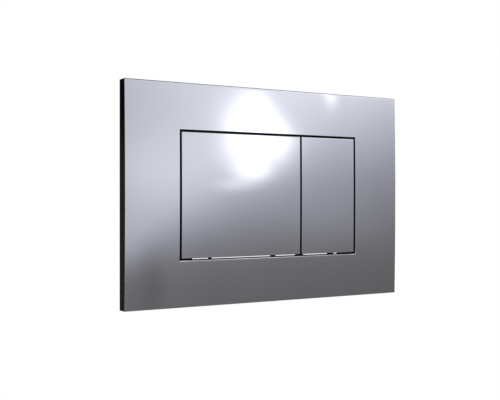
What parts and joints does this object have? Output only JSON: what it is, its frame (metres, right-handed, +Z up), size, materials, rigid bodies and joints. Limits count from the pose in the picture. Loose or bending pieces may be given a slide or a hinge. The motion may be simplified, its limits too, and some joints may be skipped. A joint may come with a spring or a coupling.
{
  "type": "flush button plate",
  "caption": "Rectangular flush plate for an in-wall cistern: polished chrome cover, hinged full and half flush buttons, sprung push-rod mechanism, mounting frame and fixing studs",
  "frame": {"origin": "the middle of the plate in the wall plane, which is the plane of the cover's back rim", "axes": "+X to the right as the user faces the plate, +Y into the wall, +Z up"},
  "size_m": [0.246, 0.072, 0.164],
  "materials": {
    "chrome_plated_abs": "polished",
    "black_abs": "satin",
    "grey_polypropylene": "satin",
    "white_nylon": "satin",
    "blue_acetal": "satin",
    "stainless_steel": "satin",
    "zinc_plated_steel": "satin",
    "black_rubber": "matte"
  },
  "bodies": {
    "wall_unit": {"cover_plate": "chrome_plated_abs", "button_carrier": "black_abs", "carrier_screws": "zinc_plated_steel", "mounting_frame": "grey_polypropylene", "fixing_studs": "white_nylon", "stud_nuts": "white_nylon", "full_flush_hinge_pin": "stainless_steel", "half_flush_hinge_pin": "stainless_steel", "full_flush_left_spring": "stainless_steel", "full_flush_right_spring": "stainless_steel", "half_flush_spring": "stainless_steel"},
    "full_flush_button": {"full_flush_cap": "chrome_plated_abs", "full_flush_rocker": "black_abs", "full_flush_buffers": "black_rubber"},
    "full_flush_rod": {"full_flush_push_rod": "white_nylon", "full_flush_rod_head": "blue_acetal", "full_flush_rod_nut": "blue_acetal"},
    "half_flush_button": {"half_flush_cap": "chrome_plated_abs", "half_flush_rocker": "black_abs", "half_flush_buffers": "black_rubber"},
    "half_flush_rod": {"half_flush_push_rod": "white_nylon", "half_flush_rod_head": "blue_acetal", "half_flush_rod_nut": "blue_acetal"}
  },
  "joints": [
    {"name": "full_flush_press", "type": "hinge", "parent": "wall_unit", "child": "full_flush_button", "pos_m": [-0.0265, 0, 0.04865], "axis": [1, 0, 0], "range_deg": [0, 6], "stiffness_Nm_per_rad": 1.4, "springref_deg": -5.73, "deforming": ["full_flush_left_spring", "full_flush_right_spring"]},
    {"name": "full_flush_rod_slide", "type": "slide", "parent": "wall_unit", "child": "full_flush_rod", "axis": [0, 1, 0], "range_m": [0, 0.0072]},
    {"name": "half_flush_press", "type": "hinge", "parent": "wall_unit", "child": "half_flush_button", "pos_m": [0.053, 0, 0.04865], "axis": [1, 0, 0], "range_deg": [0, 6], "stiffness_Nm_per_rad": 0.9, "springref_deg": -5.73, "deforming": ["half_flush_spring"]},
    {"name": "half_flush_rod_slide", "type": "slide", "parent": "wall_unit", "child": "half_flush_rod", "axis": [0, 1, 0], "range_m": [0, 0.0072]}
  ],
  "couplings": [
    {"joint": "full_flush_rod_slide", "follows": "full_flush_press", "m_per_rad": 0.0678},
    {"joint": "half_flush_rod_slide", "follows": "half_flush_press", "m_per_rad": 0.0678}
  ]
}
